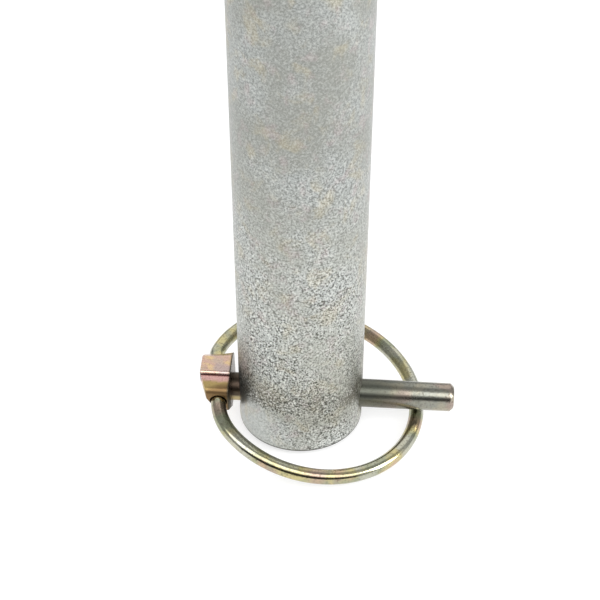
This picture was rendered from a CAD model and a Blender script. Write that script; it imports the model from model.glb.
import math
import bmesh
import bpy
from mathutils import Matrix, Vector


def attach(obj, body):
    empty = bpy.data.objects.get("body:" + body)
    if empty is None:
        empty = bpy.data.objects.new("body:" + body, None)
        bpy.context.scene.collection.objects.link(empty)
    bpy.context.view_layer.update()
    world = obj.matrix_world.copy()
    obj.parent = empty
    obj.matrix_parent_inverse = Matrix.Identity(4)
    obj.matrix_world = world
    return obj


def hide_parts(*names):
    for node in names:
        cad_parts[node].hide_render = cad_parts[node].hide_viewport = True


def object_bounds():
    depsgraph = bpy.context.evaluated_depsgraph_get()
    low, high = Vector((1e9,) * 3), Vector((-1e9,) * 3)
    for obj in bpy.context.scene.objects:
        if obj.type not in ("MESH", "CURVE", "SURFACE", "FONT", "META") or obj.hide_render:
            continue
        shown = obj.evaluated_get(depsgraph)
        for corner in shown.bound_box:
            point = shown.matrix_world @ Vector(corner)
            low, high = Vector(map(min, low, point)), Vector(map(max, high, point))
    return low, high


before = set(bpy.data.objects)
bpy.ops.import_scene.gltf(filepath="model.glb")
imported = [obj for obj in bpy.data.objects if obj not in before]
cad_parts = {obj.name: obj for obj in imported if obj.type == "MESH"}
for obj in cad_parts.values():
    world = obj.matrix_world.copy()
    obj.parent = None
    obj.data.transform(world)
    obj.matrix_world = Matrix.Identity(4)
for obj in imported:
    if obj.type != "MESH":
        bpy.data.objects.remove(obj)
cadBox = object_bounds()
print("frame loaded:", sorted(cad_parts))


class Sock:
    # one output socket; arithmetic on it adds Math nodes
    def __init__(self, mat, out):
        self.mat = mat
        self.out = out

    def __add__(self, other):
        return self.mat.math("ADD", self, other)

    def __radd__(self, other):
        return self.mat.math("ADD", other, self)

    def __sub__(self, other):
        return self.mat.math("SUBTRACT", self, other)

    def __rsub__(self, other):
        return self.mat.math("SUBTRACT", other, self)

    def __mul__(self, other):
        return self.mat.math("MULTIPLY", self, other)

    def __rmul__(self, other):
        return self.mat.math("MULTIPLY", other, self)


class Finish:
    # a material and its node tree
    def __init__(self, name):
        self.material = bpy.data.materials.new(name)
        self.material.use_nodes = True
        self.tree = self.material.node_tree
        self.tree.nodes.clear()
        self.shader = self.tree.nodes.new("ShaderNodeBsdfPrincipled")
        output = self.tree.nodes.new("ShaderNodeOutputMaterial")
        self.tree.links.new(self.shader.outputs["BSDF"], output.inputs["Surface"])
        self.coords = self.node("ShaderNodeTexCoord", out="Object")

    def node(self, kind, settings=None, inputs=None, out=0):
        n = self.tree.nodes.new(kind)
        for key, value in (settings or {}).items():
            setattr(n, key, value)
        for key, value in (inputs or {}).items():
            self.feed(n.inputs[key], value)
        return Sock(self, n.outputs[out])

    def feed(self, socket, value):
        if isinstance(value, Sock):
            self.tree.links.new(value.out, socket)
        else:
            socket.default_value = value

    def math(self, operation, a, b):
        return self.node("ShaderNodeMath", {"operation": operation}, {0: a, 1: b})

    def noise(self, scale, detail, rough, warp=0.0):
        inputs = {"Vector": self.coords, "Scale": scale, "Detail": detail,
                  "Roughness": rough, "Distortion": warp}
        return self.node("ShaderNodeTexNoise", {}, inputs)

    def axes(self, vector):
        return [self.node("ShaderNodeSeparateXYZ", {}, {0: vector}, out=i) for i in range(3)]

    def ramp(self, value, start, end):
        # smooth from 0 at start to 1 at end, and start may be the larger
        settings = {"interpolation_type": "SMOOTHSTEP"}
        inputs = {"Value": value, "From Min": start, "From Max": end}
        return self.node("ShaderNodeMapRange", settings, inputs)

    def mixColour(self, factor, a, b):
        # Mix keeps its colour sockets at 6 and 7, and its colour result at output 2
        return self.node("ShaderNodeMix", {"data_type": "RGBA"}, {0: factor, 6: a, 7: b}, out=2)

    def tint(self, base, source, look, mask=1):
        # mixes a colour in where the source runs from start to end
        colour, start, end, share = look
        return self.mixColour(self.ramp(source, start, end) * mask * share, base, colour)

    def set(self, **inputs):
        for key, value in inputs.items():
            self.feed(self.shader.inputs[key.replace("_", " ")], value)

    def bump(self, height, strength, distance):
        inputs = {"Height": height, "Strength": strength, "Distance": distance}
        self.set(Normal=self.node("ShaderNodeBump", {}, inputs))


def srgb(r, g, b):
    # 0-255 screen colour to the linear colour that nodes take
    def one(c):
        c = c / 255
        return c / 12.92 if c <= 0.04045 else ((c + 0.055) / 1.055) ** 2.4
    return (one(r), one(g), one(b), 1.0)


# a tint is a colour, where its pattern starts and ends, and its share at full strength
zincLook = {
    "light": srgb(192, 194, 186), "upper": (srgb(164, 166, 160), -0.100, -0.050, 1.0),
    "cool": (srgb(174, 180, 184), 0.36, 0.66, 0.40),
    "warm": (srgb(190, 181, 156), 0.50, 0.70, 0.50),
    "rose": (srgb(188, 174, 174), 0.52, 0.72, 0.45), "soot": (srgb(78, 78, 70), 0.60, 0.40, 0.16),
    "pits": (srgb(78, 78, 70), 0.49, 0.62, 1.0), "peaks": (srgb(232, 233, 228), 0.47, 0.36, 0.8),
    "rim": (srgb(58, 58, 50), -0.12475, -0.12525, 0.85), "rubbed": srgb(98, 92, 76),
    "cloudScale": 70, "tintScale": 210, "roseScale": 336, "grainScale": 2700,
    # strength of the grain, and where it coarsens on the way down
    "grainTop": 0.32, "grainLow": 0.66, "coarsens": (-0.045, -0.116),
    "patchLow": 0.65, "patchGain": 0.6, "patchSpan": (0.38, 0.62),
    # spans of height over the turned line: the foot below it, the dark band above it
    "line": -0.1149, "footSpan": (0.0004, -0.0022),
    "bandBottom": (-0.0004, 0.0002), "bandTop": (0.0069, 0.0016), "bandGrain": 0.16,
    # spans along the linch pin, which enters on the negative side
    "footGrain": 1.1, "smoothSide": 0.18, "sideSpan": (-0.010, 0.006), "entrySpan": (0.002, -0.006),
    "bandDark": 0.22, "bandEntry": 0.26,
    "mouthDark": 0.76, "mouthEntry": 0.38, "mouthAcross": 98, "mouthUp": 300,
    "mouthSpan": (1.3, 0.35),
    "metal": 0.92, "gloss": 0.31, "grainGloss": 0.16, "bump": 0.6, "bumpDepth": 0.00012,
}


def makeZinc(name, look):
    f = Finish(name)
    cloud = f.noise(look["cloudScale"], 4, 0.6)
    patches = f.noise(look["tintScale"], 3, 0.55, warp=0.5)
    blotches = f.noise(look["roseScale"], 3, 0.55, warp=0.3)
    grain = f.noise(look["grainScale"], 2, 0.7, warp=0.4)
    x, y, height = f.axes(f.coords)
    over = height - look["line"]
    patchy = look["patchLow"] + look["patchGain"] * f.ramp(cloud, *look["patchSpan"])
    strength = (look["grainTop"] + look["grainLow"] * f.ramp(height, *look["coarsens"])) * patchy
    # the foot is rubbed smooth on the side where the linch pin goes in
    foot = f.ramp(over, *look["footSpan"])
    smooth = look["smoothSide"]
    coarse = smooth + (1 - smooth) * f.ramp(x, *look["sideSpan"])
    band = f.ramp(over, *look["bandBottom"]) * f.ramp(over, *look["bandTop"])
    strength = strength * (1 - foot * (1 - look["footGrain"] * coarse)) + band * look["bandGrain"]
    base = f.tint(look["light"], height, look["upper"])
    base = f.tint(base, cloud, look["cool"])
    base = f.tint(base, patches, look["warm"])
    base = f.tint(base, blotches, look["rose"])
    base = f.tint(base, cloud, look["soot"])
    # dark along the turned line, and darkest towards the two mouths of the cross hole
    entry = f.ramp(x, *look["entrySpan"])
    base = f.mixColour(band * (look["bandDark"] + look["bandEntry"] * entry), base, look["rubbed"])
    across, up = y * look["mouthAcross"], over * look["mouthUp"]
    mouth = f.ramp(across * across + up * up, *look["mouthSpan"])
    base = f.mixColour(mouth * (look["mouthDark"] - look["mouthEntry"] * entry),
                       base, look["rubbed"])
    base = f.tint(base, grain, look["pits"], strength)
    base = f.tint(base, grain, look["peaks"], strength)
    base = f.tint(base, height, look["rim"])
    f.set(Base_Color=base, Metallic=look["metal"],
          Roughness=look["gloss"] + look["grainGloss"] * grain)
    f.bump(grain * strength, look["bump"], look["bumpDepth"])
    return f.material


chromateLook = {
    "green": srgb(160, 163, 138), "gold": (srgb(196, 186, 138), 0.40, 0.62, 1.0),
    "pink": (srgb(190, 156, 146), 0.52, 0.66, 0.6),
    "silver": (srgb(186, 186, 174), 0.50, 0.38, 0.8),
    "brown": (srgb(92, 76, 60), 0.50, 0.70, 0.6), "patchScale": 210, "gloss": 0.10,
    "grainScale": 2400, "grainGloss": 0.14, "bump": 0.25, "bumpDepth": 0.00004,
}

shankLook = {
    "green": srgb(148, 148, 138), "gold": (srgb(166, 160, 142), 0.40, 0.62, 1.0),
    "pink": (srgb(168, 146, 136), 0.52, 0.66, 0.6),
    "silver": (srgb(140, 142, 134), 0.50, 0.38, 0.8),
    "brown": (srgb(76, 68, 58), 0.50, 0.70, 0.6), "patchScale": 240, "gloss": 0.17,
    "grainScale": 2400, "grainGloss": 0.14, "bump": 0.25, "bumpDepth": 0.00004,
    # between the head and the hitch pin: stained over the height given, gilded under it
    "between": (-0.0110, -0.0126), "stainHeight": (-0.1206, -0.1198),
    "stained": srgb(70, 56, 46), "stainShare": 0.9,
    "gilded": srgb(186, 166, 118), "gildShare": 0.8,
    # duller from there to where it comes out of the hitch pin
    "worn": (0.0270, 0.0150), "dull": srgb(76, 78, 68), "dullShare": 0.75, "dullGloss": 0.12,
}


def makeChromate(name, look):
    # clear yellow passivation over zinc, drifting between tints
    f = Finish(name)
    hue = f.noise(look["patchScale"], 3, 0.5, warp=0.6)
    other = f.noise(look["patchScale"] * 0.6, 2, 0.5)
    grain = f.noise(look["grainScale"], 3, 0.65)
    base = f.tint(look["green"], hue, look["gold"])
    base = f.tint(base, other, look["pink"])
    base = f.tint(base, other, look["silver"])
    base = f.tint(base, grain, look["brown"])
    rough = look["gloss"] + look["grainGloss"] * grain
    if "stained" in look:
        x, _, z = f.axes(f.coords)
        between = f.ramp(x, *look["between"])
        above = f.ramp(z, *look["stainHeight"])
        worn = f.ramp(x, *look["worn"])
        base = f.mixColour(between * above * look["stainShare"], base, look["stained"])
        base = f.mixColour(between * (1 - above) * look["gildShare"], base, look["gilded"])
        base = f.mixColour(worn * (1 - between) * look["dullShare"], base, look["dull"])
        rough = rough + worn * look["dullGloss"]
    f.set(Base_Color=base, Metallic=1.0, Roughness=rough)
    f.bump(grain, look["bump"], look["bumpDepth"])
    return f.material


# the linch pin in millimetres, from the middle of the cross hole, before its roll
linch = {
    "height": -120, "roll": 8.7, "shank": 2.9, "tip": 31.5, "tipChamfer": 0.7,
    "sideEase": 0.1, "sideStep": 0.05, "faceStep": 0.03, "faceEase": 0.15, "intoHead": 1,
    "outer": -20.2, "inner": -14.0, "hingeX": -17.15, "hingeZ": 3.8, "skew": 8.5,
    "hingeHole": 1.75,
}
linchPlace = (Matrix.Translation((0, 0, linch["height"]))
              @ Matrix.Rotation(math.radians(linch["roll"]), 4, "X"))
hingePlace = (linchPlace @ Matrix.Translation((linch["hingeX"], 0, linch["hingeZ"]))
              @ Matrix.Rotation(math.radians(linch["skew"]), 4, "Z"))

# starts and ends here are in the linch pin's own millimetres, where they aren't noise
headLook = {
    "pink": srgb(214, 180, 164), "peach": (srgb(230, 200, 154), 0.40, 0.60, 1.0),
    "violet": (srgb(192, 174, 170), 0.50, 0.62, 0.75),
    "magenta": srgb(222, 176, 168), "olive": (srgb(190, 166, 110), 3.9, 5.0, 1.0),
    "orange": (srgb(134, 108, 74), 5.6, 7.2, 1.0), "swirl": 2, "lean": 0.35, "leanFrom": 18.5,
    "stepSpan": (-3.0, -2.8), "groove": (srgb(62, 40, 46), -3.05, -2.92, 0.9),
    "grooveTop": (7.1, 6.95), "grooveBack": (-2.5, -2.7),
    "side": (srgb(74, 72, 62), -14.5, -14.1, 0.85), "brown": (srgb(120, 98, 76), 0.52, 0.72, 0.4),
    "patchScale": 330, "grainScale": 2600, "metal": 0.95,
    "gloss": 0.20, "grainGloss": 0.14, "satin": 0.16, "satinSpan": (-3.8, -5.2),
    "bump": 0.3, "bumpDepth": 0.00005,
}


def makeHeadFinish(name, look):
    f = Finish(name)
    # back from the shared frame to the linch pin's own millimetres
    undo = linchPlace.inverted()
    own = f.node("ShaderNodeMapping", {}, {"Vector": f.coords, "Location": undo.translation,
                                           "Rotation": undo.to_euler(), "Scale": (1000,) * 3})
    x, y, z = f.axes(own)
    swirl = f.noise(look["patchScale"], 3, 0.5, warp=1.0)
    other = f.noise(look["patchScale"] * 0.6, 2, 0.5)
    grain = f.noise(look["grainScale"], 3, 0.6)
    rear = f.tint(look["pink"], swirl, look["peach"])
    rear = f.tint(rear, other, look["violet"])
    drift = y * -1 + (swirl - 0.5) * look["swirl"]
    front = f.tint(look["magenta"], drift, look["olive"])
    front = f.tint(front, drift + (x + look["leanFrom"]) * look["lean"], look["orange"])
    base = f.mixColour(f.ramp(y, *look["stepSpan"]), front, rear)
    inGroove = f.ramp(z, *look["grooveTop"]) * f.ramp(y, *look["grooveBack"])
    base = f.tint(base, y, look["groove"], inGroove)
    base = f.tint(base, x, look["side"])
    base = f.tint(base, grain, look["brown"])
    rough = look["gloss"] + look["grainGloss"] * grain
    rough = rough + look["satin"] * f.ramp(y, *look["satinSpan"])
    f.set(Base_Color=base, Metallic=look["metal"], Roughness=rough)
    f.bump(grain, look["bump"], look["bumpDepth"])
    return f.material


zincSteel = makeZinc("zincSteel", zincLook)
yellowChromate = makeChromate("yellowChromate", chromateLook)
shankChromate = makeChromate("shankChromate", shankLook)
headChromate = makeHeadFinish("headChromate", headLook)
print("finishes made")

mm = 0.001
mergeGap = 1e-5
keenAngle = 32


def finishPiece(name, bm, material, place=None, sharp=keenAngle):
    # turns a bmesh drawn in millimetres into an object in metres
    if place is not None:
        bm.transform(place)
    bm.transform(Matrix.Scale(mm, 4))
    bmesh.ops.recalc_face_normals(bm, faces=bm.faces)
    mesh = bpy.data.meshes.new(name)
    bm.to_mesh(mesh)
    bm.free()
    mesh.shade_smooth()
    mesh.set_sharp_from_angle(angle=math.radians(sharp))
    mesh.materials.append(material)
    piece = bpy.data.objects.new(name, mesh)
    bpy.context.scene.collection.objects.link(piece)
    return piece


def turned(points, steps=160):
    # spins a half outline of (radius, height) points about Z
    bm = bmesh.new()
    verts = [bm.verts.new((r, 0, z)) for r, z in points]
    edges = [bm.edges.new(pair) for pair in zip(verts, verts[1:])]
    bmesh.ops.spin(bm, geom=verts + edges, cent=(0, 0, 0), axis=(0, 0, 1),
                   angle=2 * math.pi, steps=steps, use_merge=True)
    bmesh.ops.remove_doubles(bm, verts=bm.verts, dist=mergeGap)
    return bm


def cornerArc(centre, radius, start, end, steps=5):
    # points of a rounded corner, for an outline
    out = []
    for i in range(steps + 1):
        a = math.radians(start + (end - start) * i / steps)
        out.append((centre[0] + radius * math.cos(a), centre[1] + radius * math.sin(a)))
    return out


def rod(radius, length, steps=64):
    # closed cylinder along +X from the origin
    bm = bmesh.new()
    bmesh.ops.create_cone(bm, cap_ends=True, segments=steps, radius1=radius, radius2=radius,
                          depth=length)
    bmesh.ops.translate(bm, verts=bm.verts, vec=(0, 0, length / 2))
    bm.transform(Matrix.Rotation(math.pi / 2, 4, "Y"))
    return bm


def combine(piece, other, operation="DIFFERENCE"):
    # joins the other shape to the piece, or cuts it out, and removes the other
    tool = piece.modifiers.new("combine", "BOOLEAN")
    tool.operation = operation
    tool.solver = "EXACT"
    tool.object = other
    depsgraph = bpy.context.evaluated_depsgraph_get()
    mesh = bpy.data.meshes.new_from_object(piece.evaluated_get(depsgraph))
    piece.modifiers.clear()
    piece.data = mesh
    bpy.data.objects.remove(other)
    mesh.set_sharp_from_angle(angle=math.radians(keenAngle))


shaft = {
    "radius": 12.7, "foot": -125.55, "footRound": 0.45,
    "line": -114.9, "lineRun": 0.6, "lineFlat": 0.15, "lineWide": 0.5, "lineDeep": 0.07,
    "neck": 10, "neckTop": 22, "neckRound": 1.5, "neckSteps": 7,
    "hole": 3.5, "mouth": 4.0, "mouthSink": 0.3, "mouthLap": 0.02, "holeHeight": -120,
    "pivotHole": 4.3, "pivotHeight": 12.7, "past": 1,
}


def drillAcross(piece, radius, height, s):
    length = 2 * (s["radius"] + s["past"])
    cutter = rod(radius, length)
    bmesh.ops.translate(cutter, verts=cutter.verts, vec=(-length / 2, 0, height))
    combine(piece, finishPiece("cutter", cutter, zincSteel))


def makeShaft(s):
    r, line = s["radius"], s["line"]
    points = [(0, s["foot"])]
    points += cornerArc((r - s["footRound"], s["foot"] + s["footRound"]), s["footRound"], -90, 0)
    points += [(r, line - s["lineRun"]), (r - s["lineDeep"], line)]
    points += [(r - s["lineDeep"], line + s["lineFlat"]), (r, line + s["lineWide"])]
    points += [(r, 0), (s["neck"], r - s["neck"])]
    top = (s["neck"] - s["neckRound"], s["neckTop"] - s["neckRound"])
    points += cornerArc(top, s["neckRound"], 0, 90, s["neckSteps"]) + [(0, s["neckTop"])]
    piece = finishPiece("pinShaft", turned(points), zincSteel)
    drillAcross(piece, s["hole"], s["holeHeight"], s)
    deep, past = s["mouth"] - s["hole"], s["past"]
    for side in (-1, 1):
        # countersunk mouth of the cross hole
        cone = bmesh.new()
        bmesh.ops.create_cone(cone, cap_ends=True, segments=64, radius1=s["hole"] - s["mouthLap"],
                              radius2=s["mouth"] + past, depth=deep + past)
        bmesh.ops.translate(cone, verts=cone.verts,
                            vec=(0, 0, r - deep - s["mouthSink"] + (deep + past) / 2))
        cone.transform(Matrix.Rotation(side * math.pi / 2, 4, "Y"))
        bmesh.ops.translate(cone, verts=cone.verts, vec=(0, 0, s["holeHeight"]))
        combine(piece, finishPiece("cutter", cone, zincSteel))
    drillAcross(piece, s["pivotHole"], s["pivotHeight"], s)
    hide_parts("pin_shaft")
    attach(piece, "hitch_pin")


makeShaft(shaft)
print("shaft made")

collar = {"radius": 22, "thick": 8, "edge": 1.0, "bore": 10, "seat": 13.0, "groove": 12.5,
          "grooveDeep": 2.5}


def makeCollar(c):
    r, t, e = c["radius"], c["thick"], c["edge"]
    points = [(c["bore"], c["seat"] - c["bore"]), (c["seat"], 0)]
    points += cornerArc((r - e, e), e, -90, 0) + cornerArc((r - e, t - e), e, 0, 90)
    points += [(c["groove"], t), (c["bore"], t - c["grooveDeep"])]
    points += [points[0]]
    piece = finishPiece("stopCollar", turned(points), zincSteel)
    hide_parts("stop_collar")
    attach(piece, "hitch_pin")


# rises are heights over the collar's top
weld = {"toe": 0.5, "toeRise": 0.22, "crownRise": 0.35, "neckRise": 0.25, "ripples": 34,
        "rippleHigh": 0.07, "rippleSink": 0.05, "rippleFrom": 0.01, "steps": 240, "sharp": 60}


def makeWeld(c, w):
    # bead crown with overlapping ripples round the neck
    t = c["thick"]
    points = [(c["bore"], t - c["grooveDeep"]), (c["groove"], t)]
    points += [(c["groove"] - w["toe"], t + w["toeRise"])]
    points += [((c["bore"] + c["groove"]) / 2, t + w["crownRise"])]
    points += [(c["bore"], t + w["neckRise"]), points[0]]
    bm = turned(points, w["steps"])
    for v in bm.verts:
        if v.co.z > t + w["rippleFrom"]:
            turn = math.atan2(v.co.y, v.co.x)
            v.co.z += w["rippleHigh"] * abs(math.sin(turn * w["ripples"] / 2)) - w["rippleSink"]
    piece = finishPiece("collarWeld", bm, zincSteel, sharp=w["sharp"])
    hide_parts("collar_weld")
    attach(piece, "hitch_pin")


makeCollar(collar)
makeWeld(collar, weld)
print("collar and weld made")


class Pen:
    # sweeps a round section along straights and bends in the XY plane, as a wire bender does
    def __init__(self, radius, place, heading, segments):
        self.bm = bmesh.new()
        self.place = Vector((*place, 0))
        self.heading = heading
        start = bmesh.ops.create_circle(self.bm, segments=segments, radius=radius)
        turn = Matrix.Rotation(heading, 3, "Z") @ Matrix.Rotation(math.pi / 2, 3, "Y")
        bmesh.ops.rotate(self.bm, verts=start["verts"], cent=(0, 0, 0), matrix=turn)
        bmesh.ops.translate(self.bm, verts=start["verts"], vec=self.place)
        self.first = list(self.bm.edges)
        self.loop = self.first

    def way(self):
        return Vector((math.cos(self.heading), math.sin(self.heading), 0))

    def straight(self, length, steps):
        for _ in range(steps):
            out = bmesh.ops.extrude_edge_only(self.bm, edges=self.loop)
            fresh = [g for g in out["geom"] if isinstance(g, bmesh.types.BMVert)]
            bmesh.ops.translate(self.bm, verts=fresh, vec=self.way() * (length / steps))
            self.loop = [g for g in out["geom"] if isinstance(g, bmesh.types.BMEdge)
                         and all(v in fresh for v in g.verts)]
        self.place = self.place + self.way() * length

    def bend(self, radius, angle, steps):
        # turns left, about a centre that far to the left
        left = Vector((-self.way().y, self.way().x, 0))
        centre = self.place + left * radius
        out = bmesh.ops.spin(self.bm, geom=self.loop, cent=centre, axis=(0, 0, 1),
                             angle=angle, steps=steps)
        self.loop = [g for g in out["geom_last"] if isinstance(g, bmesh.types.BMEdge)]
        self.place = centre + Matrix.Rotation(angle, 3, "Z") @ (self.place - centre)
        self.heading += angle

    def close(self, chamfer, shrink):
        # both ends get a small chamfer and a flat face
        ends = ((self.loop, self.way() * chamfer), (self.first, self.startWay() * chamfer))
        for edges, step in ends:
            out = bmesh.ops.extrude_edge_only(self.bm, edges=edges)
            fresh = [g for g in out["geom"] if isinstance(g, bmesh.types.BMVert)]
            centre = sum((v.co for v in fresh), Vector()) / len(fresh)
            for v in fresh:
                v.co = centre + (v.co - centre) * shrink + step
            rim = [g for g in out["geom"] if isinstance(g, bmesh.types.BMEdge)
                   and all(v in fresh for v in g.verts)]
            bmesh.ops.edgeloop_fill(self.bm, edges=rim)

    def startWay(self):
        # direction out of the first end: away from the faces beside it
        rim = [v for e in self.first for v in e.verts]
        body = [v for f in {f for e in self.first for f in e.link_faces} for v in f.verts]
        out = sum((v.co for v in rim), Vector()) / len(rim)
        return (out - sum((v.co for v in body), Vector()) / len(body)).normalized()


handle = {"bar": 4, "half": 20, "bend": 7, "arm": 24, "end": 2, "height": 12.7, "chamfer": 0.6,
          "shrink": 0.86, "sides": 40, "bendSteps": 20, "bowSteps": 64}


def makeHandle(h):
    pen = Pen(h["bar"], (h["end"] + h["chamfer"], 0), 0, h["sides"])
    end = h["half"] - h["bend"] - h["end"] - h["chamfer"]
    pen.straight(end, 2)
    pen.bend(h["bend"], math.pi / 2, h["bendSteps"])
    pen.straight(h["arm"], 3)
    pen.bend(h["half"], math.pi, h["bowSteps"])
    pen.straight(h["arm"], 3)
    pen.bend(h["bend"], math.pi / 2, h["bendSteps"])
    pen.straight(end, 2)
    pen.close(h["chamfer"], h["shrink"])
    piece = finishPiece("swingHandle", pen.bm, zincSteel,
                        Matrix.Translation((0, 0, h["height"])))
    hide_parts("swing_handle")
    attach(piece, "handle")


makeHandle(handle)
print("handle made")


def makeShank(p):
    r, c, tip = p["shank"], p["tipChamfer"], p["tip"]
    start = p["inner"] - p["intoHead"]
    points = [(0, start), (r, start), (r, tip - c - p["sideEase"])]
    points += [(r - p["sideStep"], tip - c), (r - c, tip - p["faceStep"])]
    points += [(r - c - p["faceEase"], tip), (0, tip)]
    bm = turned(points, 96)
    bm.transform(Matrix.Rotation(math.pi / 2, 4, "Y"))
    piece = finishPiece("linchShank", bm, shankChromate, linchPlace)
    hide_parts("linch_pin")
    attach(piece, "linch_body")


headShape = {
    # the block behind, in (y, z), and its upper rear edge that sweeps up towards the shank
    "step": -2.9, "ridgeTop": 7.4, "ridgeDrop": 0.3, "ridgeBack": 0.44,
    "belly": -3.2, "bellyHalf": 3.3, "rear": 4.1, "rearLow": 0.6, "rearHigh": 5.6, "rearTop": 1.9,
    "slopeTop": 4.6, "slopeIn": 2.8, "bands": 8,
    "flare": 0.5, "flareBack": 0.7, "flareUp": 0.6, "sweptY": 1, "sweptZ": 4, "raisedY": 3,
    # the ear in front, which starts inside the block so that the two join cleanly
    "lap": 0.6, "earTop": 6.7, "earBelly": -3.0, "front": -7.3, "nose": 1.5, "frontLow": 1.1,
    "earStep": 0.15, "earTaper": 1.6, "earLowZ": 4.4, "earLowIn": 0.5,
    "edge": 0.16, "keen": 30, "holeLength": 24, "holeSides": 48,
}


def slab(points, p, bands=1):
    # closed slab across X of an outline given as (y, z) points
    bm = bmesh.new()
    verts = [bm.verts.new((p["outer"], y, z)) for y, z in points]
    side = [bm.faces.new(verts)]
    for band in range(bands):
        out = bmesh.ops.extrude_face_region(bm, geom=side)
        fresh = [g for g in out["geom"] if isinstance(g, bmesh.types.BMVert)]
        bmesh.ops.translate(bm, verts=fresh, vec=((p["inner"] - p["outer"]) / bands, 0, 0))
        if band > 0:
            # only the two end faces stay
            bmesh.ops.delete(bm, geom=side, context="FACES_ONLY")
        side = [g for g in out["geom"] if isinstance(g, bmesh.types.BMFace)]
    return bm


def planeCut(bm, point, normal):
    # takes off what lies beyond a plane and closes the cut
    out = bmesh.ops.bisect_plane(bm, geom=bm.verts[:] + bm.edges[:] + bm.faces[:],
                                 plane_co=point, plane_no=normal, clear_outer=True)
    rim = [g for g in out["geom_cut"] if isinstance(g, bmesh.types.BMEdge)]
    bmesh.ops.edgeloop_fill(bm, edges=rim)


def softenEdges(bm, width, angle):
    # rounds the outer edges and leaves the inner corners sharp
    bmesh.ops.recalc_face_normals(bm, faces=bm.faces)
    keen = [e for e in bm.edges if len(e.link_faces) == 2 and e.is_convex
            and e.calc_face_angle() > math.radians(angle)]
    bmesh.ops.bevel(bm, geom=keen, offset=width, offset_type="OFFSET", segments=3,
                    profile=0.5, affect="EDGES", material=-1)


def makeHeadBlock(p, h):
    rear = slab([(h["step"], h["belly"]), (h["bellyHalf"], h["belly"]),
                 (h["rear"], h["rearLow"]), (h["rear"], h["rearHigh"]),
                 (h["rearTop"], h["ridgeTop"]), (h["step"] + h["ridgeBack"], h["ridgeTop"]),
                 (h["step"], h["ridgeTop"] - h["ridgeDrop"])], p, h["bands"])
    for v in rear.verts:
        if v.co.y > h["sweptY"] and v.co.z > h["sweptZ"]:
            across = (v.co.x - p["outer"]) / (p["inner"] - p["outer"])
            v.co.y += h["flare"] * (across ** 2 - h["flareBack"])
            if v.co.y > h["raisedY"]:
                v.co.z += h["flare"] * (across ** 2 - h["flareUp"])
    down = Vector((h["belly"] - h["slopeTop"], 0, -h["slopeIn"]))
    planeCut(rear, (p["outer"], 0, h["slopeTop"]), down)
    softenEdges(rear, h["edge"], h["keen"])
    return rear


def makeEar(p, h):
    inside = h["step"] + h["lap"]
    noseCentre = (h["front"] + h["nose"], h["earTop"] - h["nose"])
    ear = slab([(inside, h["earBelly"]), (inside, h["earTop"])]
               + cornerArc(noseCentre, h["nose"], 90, 180)
               + [(h["front"], h["frontLow"]), (h["step"], h["earBelly"])], p)
    away = Vector((h["front"] - h["step"], -h["earTaper"], 0)).normalized()
    side = Vector((p["outer"] + h["earStep"], h["step"], h["earLowZ"]))
    planeCut(ear, side, away)
    # its lower outer edge slopes in round the hinge hole
    planeCut(ear, side, away + Vector((0, 0, -h["earLowIn"])))
    softenEdges(ear, h["edge"], h["keen"])
    return ear


def makeHead(p, h):
    piece = finishPiece("linchHead", makeHeadBlock(p, h), headChromate, linchPlace)
    combine(piece, finishPiece("ear", makeEar(p, h), headChromate, linchPlace), "UNION")
    hole = rod(p["hingeHole"], h["holeLength"], h["holeSides"])
    bmesh.ops.translate(hole, verts=hole.verts, vec=(-h["holeLength"] / 2, 0, 0))
    hole.transform(Matrix.Rotation(math.pi / 2, 4, "Z"))
    combine(piece, finishPiece("cutter", hole, headChromate, hingePlace))
    print("linch head has", len(piece.data.polygons), "faces")
    flat = piece.modifiers.new("flatShading", "WEIGHTED_NORMAL")
    flat.keep_sharp = True
    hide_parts("linch_pin")
    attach(piece, "linch_body")


makeShank(linch)
makeHead(linch, headShape)
print("linch pin made")

ring = {"wire": 1.5, "radius": 21.75, "front": 11.25, "rear": 5.35, "gap": 0.1,
        "frontBend": 13.0, "rearBend": 3.0, "frontEnd": 3.8, "rearEnd": 1.2,
        "chamfer": 0.2, "shrink": 0.86, "sides": 32, "bendSteps": 8, "roundSteps": 210}


def makeRing(p, k):
    half = (k["front"] + k["rear"]) / 2
    shift = (k["rear"] - k["front"]) / 2
    reach = math.sqrt(k["radius"] ** 2 - half ** 2)
    drop = p["hingeZ"] + p["shank"] + k["wire"] + k["gap"]
    slope = math.asin(drop / (reach + k["radius"] * math.cos(math.radians(p["skew"]))))

    def bendOf(radius):
        # how far from the ring's middle a bend starts, and how much it turns
        inner = k["radius"] - radius
        along = math.sqrt(inner ** 2 - (reach - radius) ** 2)
        return along, math.asin(along / inner)

    frontAlong, frontTurn = bendOf(k["frontBend"])
    rearAlong, rearTurn = bendOf(k["rearBend"])
    pen = Pen(k["wire"], (0, -k["frontEnd"]), -math.pi / 2, k["sides"])
    pen.straight(frontAlong - shift - k["frontEnd"], 3)
    pen.bend(k["frontBend"], frontTurn, k["bendSteps"])
    pen.bend(k["radius"], 2 * math.pi - frontTurn - rearTurn, k["roundSteps"])
    pen.bend(k["rearBend"], rearTurn, k["bendSteps"])
    pen.straight(rearAlong + shift - k["rearEnd"], 2)
    pen.close(k["chamfer"], k["shrink"])
    piece = finishPiece("linchRing", pen.bm, yellowChromate,
                        hingePlace @ Matrix.Rotation(slope, 4, "Y"))
    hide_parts("linch_ring")
    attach(piece, "snap_ring")


makeRing(linch, ring)
print("ring made")

lowest = cadBox[0][2]
linchAxis = linch["height"] * mm

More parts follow.
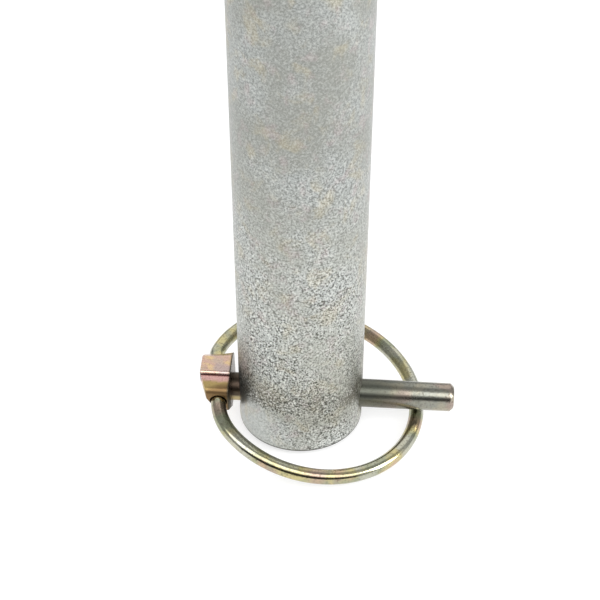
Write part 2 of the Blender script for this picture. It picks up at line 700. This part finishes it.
stageLook = {
    "floorSize": 24.0, "glow": 0.70, "mottleScale": 3, "floorRough": 0.9,
    "floorDark": (0.40, 0.40, 0.40, 1.0), "floorLight": (0.43, 0.43, 0.43, 1.0),
    "worldColour": (0.96, 0.98, 1.0, 1.0), "worldStrength": 0.50,
    "cardPlace": (0, -0.9, lowest + 0.27), "cardSize": (2.4, 0.54),
    "cardColour": (0.01, 0.01, 0.01, 1),
}


def makeFloor(look):
    bm = bmesh.new()
    bmesh.ops.create_grid(bm, x_segments=1, y_segments=1, size=look["floorSize"] / 2)
    bmesh.ops.translate(bm, verts=bm.verts, vec=(0, 0, lowest))
    mesh = bpy.data.meshes.new("studioFloor")
    bm.to_mesh(mesh)
    bm.free()
    floor = bpy.data.objects.new("studioFloor", mesh)
    bpy.context.scene.collection.objects.link(floor)
    f = Finish("paleFloor")
    mottle = f.noise(look["mottleScale"], 2, 0.5)
    tone = f.mixColour(mottle, look["floorDark"], look["floorLight"])
    f.set(Base_Color=tone, Roughness=look["floorRough"], Emission_Color=(1, 1, 1, 1),
          Emission_Strength=look["glow"])
    mesh.materials.append(f.material)


def makeWorld(look):
    world = bpy.data.worlds.new("studioLight")
    world.use_nodes = True
    background = world.node_tree.nodes["Background"]
    background.inputs["Color"].default_value = look["worldColour"]
    background.inputs["Strength"].default_value = look["worldStrength"]
    bpy.context.scene.world = world


# place in metres, width and depth, watts; each is aimed at the linch pin
lamps = {
    "frontTopBox": ((0, -0.54, 0.74), (2.2, 0.60), 9.5),
    "rearBox": ((0, 0.75, 0.55), (1.8, 0.8), 3),
    "rightBox": ((0.8, -0.15, 0.25), (0.3, 0.5), 4),
}


def makeLamp(name, place, size, power):
    data = bpy.data.lights.new(name, "AREA")
    data.shape = "RECTANGLE"
    data.size, data.size_y = size
    data.energy = power
    lamp = bpy.data.objects.new(name, data)
    lamp.location = place
    towards = Vector((0, 0, linchAxis)) - Vector(place)
    lamp.rotation_euler = towards.to_track_quat("-Z", "Y").to_euler()
    bpy.context.scene.collection.objects.link(lamp)


def makeDarkCard(name, look):
    # black card that only reflections see
    width, tall = look["cardSize"]
    bm = bmesh.new()
    bmesh.ops.create_grid(bm, x_segments=1, y_segments=1, size=0.5)
    bmesh.ops.scale(bm, verts=bm.verts, vec=(width, tall, 1))
    bmesh.ops.rotate(bm, verts=bm.verts, cent=(0, 0, 0),
                     matrix=Matrix.Rotation(math.pi / 2, 3, "X"))
    bmesh.ops.translate(bm, verts=bm.verts, vec=look["cardPlace"])
    mesh = bpy.data.meshes.new(name)
    bm.to_mesh(mesh)
    bm.free()
    card = bpy.data.objects.new(name, mesh)
    bpy.context.scene.collection.objects.link(card)
    f = Finish(name)
    f.set(Base_Color=look["cardColour"], Roughness=1.0)
    mesh.materials.append(f.material)
    card.visible_camera = False
    card.visible_diffuse = False
    card.visible_shadow = False


makeFloor(stageLook)
makeWorld(stageLook)
for lampName, (lampPlace, lampSize, watts) in lamps.items():
    makeLamp(lampName, lampPlace, lampSize, watts)
makeDarkCard("darkCard", stageLook)

cameraLook = {"pitch": 38.05, "turn": 4.5, "focal": 1311, "frame": 600, "sensor": 36,
              "near": 0.01, "place": (-0.00015, -0.2022, 0.18175)}


def makeCamera(look):
    data = bpy.data.cameras.new("productCamera")
    data.sensor_width = look["sensor"]
    data.lens = look["focal"] / look["frame"] * look["sensor"]
    data.clip_start = look["near"]
    camera = bpy.data.objects.new("productCamera", data)
    turn = Matrix.Rotation(math.radians(look["turn"]), 4, "Z")
    camera.location = turn @ Vector(look["place"]) + Vector((0, 0, linchAxis))
    camera.rotation_euler = (math.radians(90 - look["pitch"]), 0, math.radians(look["turn"]))
    bpy.context.scene.collection.objects.link(camera)
    bpy.context.scene.camera = camera


makeCamera(cameraLook)
bpy.context.scene.view_settings.view_transform = "Standard"
print("stage set")
